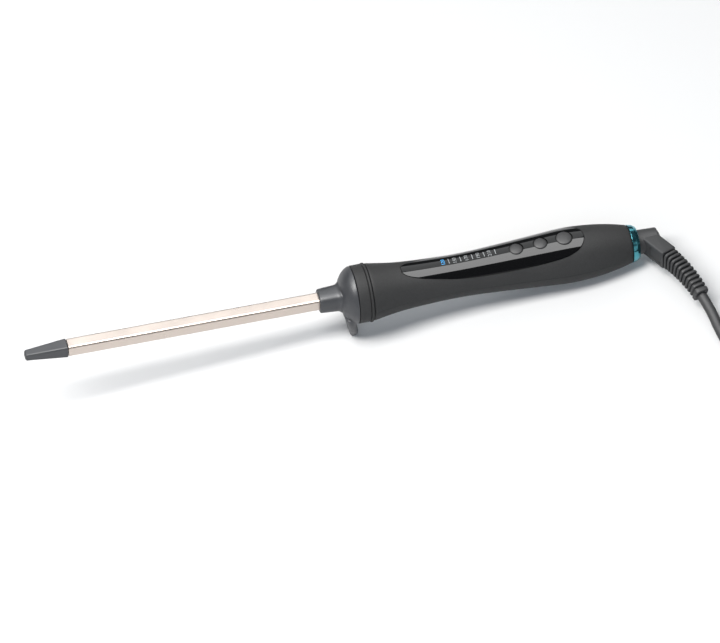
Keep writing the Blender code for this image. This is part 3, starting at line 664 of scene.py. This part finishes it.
def make_barrel():
    low, high = span("barrel")
    wall = 0.8
    rows = [(low.x, BARREL_HALF - 0.2, BARREL_CORNER), (low.x + 0.25, BARREL_HALF, BARREL_CORNER),
            (high.x, BARREL_HALF, BARREL_CORNER), (high.x, BARREL_HALF - wall, 0.6),
            (low.x, BARREL_HALF - wall, 0.6)]
    tube = new_object(skin([rounded_square(*row) for row in rows], closed=True), "square_barrel", WAND)
    finished(tube, "champagne", "wand", ("barrel",))
    tube.modifiers.new("flats", "WEIGHTED_NORMAL").keep_sharp = True


def make_tip():
    low, high = span("tip_cap")
    seam = -164.3
    rows = [(low.x, 1.45, 0.5), (low.x + 0.12, 1.8, 0.6), (low.x + 0.45, 2.1, 0.7),
            (low.x + 0.9, 2.36, 0.75), (seam - 2.0, 3.98, 1.25), (seam - 1.5, 4.05, 1.3),
            (seam - 0.25, 4.08, 1.3), (seam, 3.9, 1.25), (seam, 2.5, 0.6), (high.x, 2.5, 0.6)]
    tip = new_object(skin([rounded_square(*row) for row in rows]), "square_tip", WAND)
    finished(tip, "heat_plastic", "wand", ("tip_cap",))
    tip.modifiers.new("flats", "WEIGHTED_NORMAL").keep_sharp = True


def make_nozzle():
    """The front cap's snout, a rounded square that the barrel comes out of."""
    front = span("front_cap")[0].x - NOZZLE_PROUD
    bore = BARREL_HALF + 0.12
    rows = [(front + 2.5, bore, 1.65), (front + 0.3, bore, 1.65), (front, bore + 0.25, 1.8)]
    outside = [(front, 5.35), (front + 0.2, 5.75), (front + 0.6, 6.05), (front + 1.2, 6.15), (-13.0, 6.55),
               (-11.0, 6.65), (-10.0, 6.9), (-9.2, 7.5), (-8.4, 8.0), (-6.0, 7.4)]
    sections = [rounded_square(*row) for row in rows]
    sections += [squircle(x, half, NOZZLE_SQUARENESS) for x, half in outside]
    sections.append(rounded_square(-6.0, bore, 1.65))
    nozzle = new_object(skin(sections, closed=True), "front_nozzle", WAND)
    finished(nozzle, "heat_plastic", "wand", (), sharp=50)


def make_dome():
    """The front cap's dome, blended into the foot that props the barrel off the table."""
    start = DOME[0][0]
    profile = [(x, smooth_curve(DOME)(x)) for x in steps(start, CAP_SEAM - 0.2, 34)]
    profile += [(CAP_SEAM, 16.1), (CAP_SEAM, 10.7), (8.2, 10.7), (8.2, 4.6), (start, 4.6)]
    dome = new_object(turned(profile, count=120), "front_dome", WORLD)
    rows = ((-8.0, -8.2, CAP_SEAM, 12.9), (-11.5, -7.4, CAP_SEAM, 12.8), (-15, -6.5, CAP_SEAM, 12.1),
            (-19, -5.6, CAP_SEAM + 0.6, 10.8), (-23, -4.7, 0.6, 8.7), (-26.5, -4.1, 0.8, 6.7),
            (-28.3, -3.7, 0.8, 5.6), (-29.0, -3.4, 0.5, 5.0), (FOOT_BOTTOM, -3.0, 0.0, 4.4))
    power = FOOT_SQUARENESS
    sections = []
    for z, x0, x1, half in rows:
        outline = []
        for index in range(48):
            angle = 2 * pi * index / 48
            scale = (abs(cos(angle)) ** power + abs(sin(angle)) ** power) ** (-1 / power)
            x = (x0 + x1) / 2 + (x1 - x0) / 2 * scale * cos(angle)
            lean = tan(asin_of(ALONG.z)) * (x + 2.5) if z < -28 else 0.0
            outline.append(Vector((x, half * scale * sin(angle), z - lean)))
        sections.append(outline)
    combine(dome, skin(sections), "UNION", WORLD)
    remesh = dome.modifiers.new("remesh", "REMESH")
    remesh.mode = "VOXEL"
    remesh.voxel_size = 0.36 * MM
    apply_modifiers(dome)
    ease = dome.vertex_groups.new(name="ease")
    for vertex in dome.data.vertices:
        x, y, z = vertex.co / MM
        depth = -z
        near_joint = max(0.0, 1 - abs(depth - 12.5) / 7.5)
        near_joint *= max(0.0, min(1.0, (CAP_SEAM - 0.6 - x) / 1.2))
        ease.add([vertex.index], min(1.0, 1.6 * near_joint) if abs(y) < 15 else 0.0, "REPLACE")
    blend = dome.modifiers.new("blend", "SMOOTH")
    blend.factor = 0.5
    blend.iterations = 60
    blend.vertex_group = "ease"
    overall = dome.modifiers.new("overall", "SMOOTH")
    overall.factor = 0.5
    overall.iterations = 3
    thin = dome.modifiers.new("thin", "DECIMATE")
    thin.ratio = 0.4
    apply_modifiers(dome)
    dome.data.transform(WAND @ WORLD.inverted())
    finished(dome, "heat_plastic", "wand", ("front_cap",), sharp=60)


def asin_of(value):
    return atan2(value, (1 - value * value) ** 0.5)


def make_collar():
    bore = 13.6
    start = CAP_SEAM + 0.25
    band = filleted(((start, 16.35, 0.35), (5.6, 16.4, 0.3), (5.6, bore, 0), (start, bore, 0)), 5)
    piece(turned(band, count=144), "collar_sleeve", "soft_touch", "wand", ("collar_band",))
    ring = filleted(((5.85, 16.2, 0.15), (6.2, 16.8, 0.3), (7.1, 16.8, 0.3), (7.45, 16.1, 0.15),
                     (7.45, bore, 0), (5.85, bore, 0)), 5)
    piece(turned(ring, count=144), "collar_trim", "soft_touch", "wand", ("trim_ring",))


def make_rear_ring():
    bore = NECK_RADIUS + 0.5
    profile = filleted(((157.9, 10.8, 0.12), (160.4, 10.3, 0.9), (162.1, 9.2, 0.4), (162.1, bore, 0.15),
                        (160.9, bore, 0), (160.9, 9.3, 0), (157.9, 9.7, 0)), 9)
    piece(turned(profile, count=144), "rear_trim_ring", "teal_metal", "wand", ("rear_ring",), sharp=50)


# Handle, panel and buttons


def shell_outline():
    """The wall's (x, radius) outline: front spigot, gripped surface, tail under the rear ring, inside."""
    start, end = SHELL_START, HANDLE[-1][0]
    grip = [(start, handle_radius(start) - 0.45), (start + 0.12, handle_radius(start) - 0.18),
            (start + 0.4, handle_radius(start + 0.4) - 0.02)]
    grip += [(x, handle_radius(x)) for x in steps(start + 1.0, end - 0.5, 124)]
    grip += [(end - 0.12, handle_radius(end) - 0.12), (end, handle_radius(end) - 0.35)]
    inside = [(x, handle_radius(x) - 2.6) for x in steps(150, 14, 40)]
    tail = [(end, 9.4), (160.6, 9.4), (160.6, 7.6), (156.6, 7.6), (156.6, 9.0), (153.9, 9.0), (153.9, 5.4),
            (152.2, 5.4), (152.2, 9.6)]
    return [(0.8, 13.3), (start, 13.3)] + grip + tail + inside + [(10, 11.0), (0.8, 11.0)]


def panel_patch(depths, grow=0.0, rows=96, columns=40):
    """The panel's outline as a solid between two depths under the handle's surface."""
    start, end = PANEL[0][0], PANEL[-1][0]
    middle = (start + end) / 2
    stretch = 1 + grow / (end - middle)
    sections = []
    for index in range(rows):
        x = middle - (end - middle) * cos(pi * index / (rows - 1))
        half = panel_half_width(x) + grow
        outline = []
        for depth, row in ((depths[0], 1), (depths[1], -1)):
            for share in steps(-row, row, columns + 1):
                angle = share * half / handle_radius(x)
                radius = handle_radius(x) - depth
                outline.append(Vector((middle + (x - middle) * stretch, radius * sin(angle),
                                       radius * cos(angle))))
        sections.append(outline)
    return skin(sections)


def make_shells():
    for name, first, last in (("upper", -90 + SEAM, 90 - SEAM), ("lower", 90 + SEAM, 270 - SEAM)):
        shell = new_object(turned(shell_outline(), first, last, 90), f"handle_{name}", WAND)
        if name == "upper":
            combine(shell, panel_patch((-2.0, PANEL_THICKNESS + GAP), GAP), "DIFFERENCE")
            for x_range, half in (((45.5, 85.5), 3.2), ((86.8, 126.2), 5.9)):
                combine(shell, block(x_range, (-half, half), (5, 20)), "DIFFERENCE")
        else:
            for x in (27, 137):
                seat = handle_radius(x) - 4.6
                combine(shell, post(((-20, 2.5), (-seat, 2.5)), x), "DIFFERENCE")
        finished(shell, "soft_touch", "wand", (f"{name}_shell",), sharp=40)


def make_panel():
    panel = new_object(panel_patch((0.0, PANEL_THICKNESS)), "gloss_panel", WAND)
    bevel(panel, 0.4, 4, 50)
    for _, x, radius in BUTTONS:
        hole = radius + BUTTON_GAP
        combine(panel, post(((5, hole), (20, hole)), x, count=72), "DIFFERENCE")
    finished(panel, "gloss_black", "wand", ("control_panel",), sharp=50)


def on_panel(x, across, height):
    """A place on the panel: x along it, a distance round it, and a height above it."""
    radius = handle_radius(x)
    angle = across / radius
    return Vector((x, (radius + height) * sin(angle), (radius + height) * cos(angle)))


def make_labels():
    """Numbers that read from the tip's side, each with a tick, printed on the panel."""
    half = 0.19  # of a tick's width
    corners = ((-half, -0.05), (half, -0.05), (half, 0.03), (-half, 0.03))
    for index, (text, x) in enumerate(LABELS):
        finish_name = "label_blue" if index == 0 else "label_white"
        curve = bpy.data.curves.new("label", "FONT")
        curve.body = text
        curve.size = 2.9
        curve.align_x = "CENTER"
        curve.align_y = "CENTER"
        curve.extrude = 0.5
        curve.resolution_u = 3
        source = bpy.data.objects.new("label", curve)
        bpy.context.collection.objects.link(source)
        graph = bpy.context.evaluated_depsgraph_get()
        mesh = bpy.data.meshes.new_from_object(source.evaluated_get(graph))
        bpy.data.objects.remove(source)
        for vertex in mesh.vertices:
            u, v, w = vertex.co
            vertex.co = WAND @ on_panel(x - v, 1.1 + u * 1.06, 0.03 if w > 0 else -0.05)
        label = bpy.data.objects.new(f"label_{index + 1}", mesh)
        bpy.context.collection.objects.link(label)
        finished(label, finish_name, "wand", ())
        sections = []
        for across in steps(-0.6, 3.2, 9):
            sections.append([on_panel(x + TICK_STEP + side, across, height) for side, height in corners])
        piece(skin(sections), f"tick_{index + 1}", "label_white", "wand")


def make_buttons():
    for name, x, radius in BUTTONS:
        low, high = span(name + "_button")
        crown = high.z
        edge = crown - 0.95
        flange = handle_radius(x) - 2.6
        dome = [(crown - 0.62 * share ** 2.2, radius * share) for share in (0.9, 0.8, 0.68, 0.55, 0.4, 0.2)]
        levels = [(low.z, 1.6), (flange - 0.8, 1.6), (flange - 0.8, radius + 0.85), (flange, radius + 0.85),
                  (flange, radius), (edge, radius), (edge + 0.12, radius - 0.03),
                  (edge + 0.22, radius * 0.975), (edge + 0.34, radius * 0.95)] + dome + [(crown, 0.05)]
        piece(post(levels, x, count=72), name + "_key", "button_plastic", name + "_button_body",
              (name + "_button",), sharp=40)


# Everything else, and the studio


def dress_nodes():
    """The finish of each node that shows as it is."""
    for name, obj in frame["nodes"].items():
        if not obj.hide_render:
            obj.data.materials.clear()
            obj.data.materials.append(FINISHES[SLOT_OF[name]])


def softbox(name, centre, size, radiance, colour=(1, 1, 1), aim=None, seen_by=("diffuse", "glossy")):
    """A rectangular light of that radiance, facing down or at a place, for matt or for shiny surfaces."""
    data = bpy.data.lights.new(name, "AREA")
    data.shape = "RECTANGLE"
    data.size, data.size_y = size
    data.energy = radiance * pi * size[0] * size[1]
    data.color = colour
    light = bpy.data.objects.new(name, data)
    light.location = centre
    if aim:
        light.rotation_euler = (Vector(aim) - Vector(centre)).to_track_quat("-Z", "Y").to_euler()
    light.visible_diffuse = "diffuse" in seen_by
    light.visible_glossy = "glossy" in seen_by
    bpy.context.collection.objects.link(light)


def make_floor():
    floor = new_object(block((-4000, 4000), (-4000, 4000), (-20, 0)), "floor", WORLD)
    paper = finish("floor_paper", (0.71, 0.71, 0.715), 0.75, grain=0.6, relief=0.004, mottle=0.004,
                   patch=300)
    floor.data.materials.append(paper)


def make_lights():
    """A key from the tip's side, a long overhead box in the panel, a back wall, and fills round them."""
    scene = bpy.context.scene
    world = bpy.data.worlds.new("studio")
    world.use_nodes = True
    world.node_tree.nodes["Background"].inputs["Color"].default_value = (0.86, 0.93, 1.0, 1)
    world.node_tree.nodes["Background"].inputs["Strength"].default_value = 0.08
    scene.world = world
    scene.view_settings.view_transform = "Standard"
    height = 1.5
    softbox("key", (-0.48 * height, -0.14 * height, height), (1.1 * height, 0.38 * height), 14.0,
            (1, 0.99, 0.97))
    softbox("overhead", (-0.16 * height, 0.119 * height, height + 0.02),
            (1.58 * height, 0.736 * height), 6.0, seen_by=("glossy",))
    softbox("back_wall", (0.33, 1.6, 1.9), (2.2, 2.3), 1.3, (0.97, 0.99, 1), aim=(0.33, 0, 1.9))
    softbox("front_fill", (0, -2.0, 1.3), (4.0, 1.5), 1.7, (0.84, 0.92, 1), aim=(0, 0, 0),
            seen_by=("diffuse",))
    softbox("front_card", (0, -2.0, 0.45), (5.0, 0.8), 0.6, aim=(0, 0, 0), seen_by=("glossy",))
    softbox("side_card", (1.5, -0.77, 0.65), (0.9, 0.9), 0.55, aim=(0.17, 0, 0.02), seen_by=("glossy",))

make_camera()
make_finishes()
cord = make_cord()
tie_pieces = make_tie()
plug_pieces = make_plug()
relief = make_strain_relief()
make_barrel()
make_tip()
make_nozzle()
make_dome()
make_collar()
make_shells()
make_rear_ring()
make_panel()
make_labels()
make_buttons()
dress_nodes()
make_floor()
make_lights()
